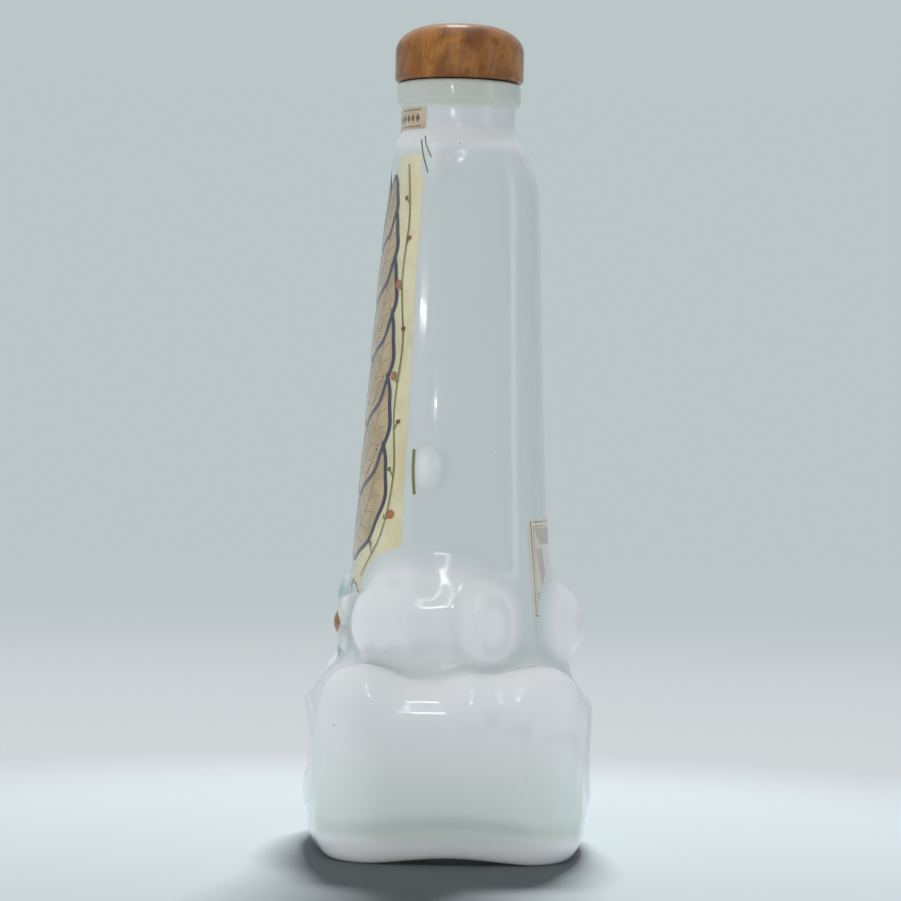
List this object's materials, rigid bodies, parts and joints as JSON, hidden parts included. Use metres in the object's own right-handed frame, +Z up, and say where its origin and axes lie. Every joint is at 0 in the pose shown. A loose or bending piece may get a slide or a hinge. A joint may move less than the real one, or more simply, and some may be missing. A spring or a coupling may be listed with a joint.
{
  "type": "figural liquor decanter",
  "caption": "Tall tapered porcelain decanter on a bulging relief base, with a round neck closed by a turned wooden cap on a cork that pulls straight out",
  "frame": {"origin": "on the floor under the middle of the foot, on the axis of the neck", "axes": "+Z up along the neck, -Y to the front with the colour panel, +X to the side that the picture shows"},
  "size_m": [0.124, 0.0992, 0.28],
  "materials": {
    "porcelain": "gloss",
    "front_colours": "gloss",
    "back_colours": "gloss",
    "label_paper": "satin",
    "cap_wood": "gloss",
    "cork": "matte"
  },
  "bodies": {
    "bottle": {"bottle": "porcelain", "front_transfer": "front_colours", "back_transfer": "back_colours", "neck_label": "label_paper"},
    "stopper": {"stopper_cap": "cap_wood", "stopper_cork": "cork"}
  },
  "joints": [
    {"name": "stopper_pull", "type": "slide", "parent": "bottle", "child": "stopper", "axis": [0, 0, 1], "range_m": [0, 0.06]}
  ]
}
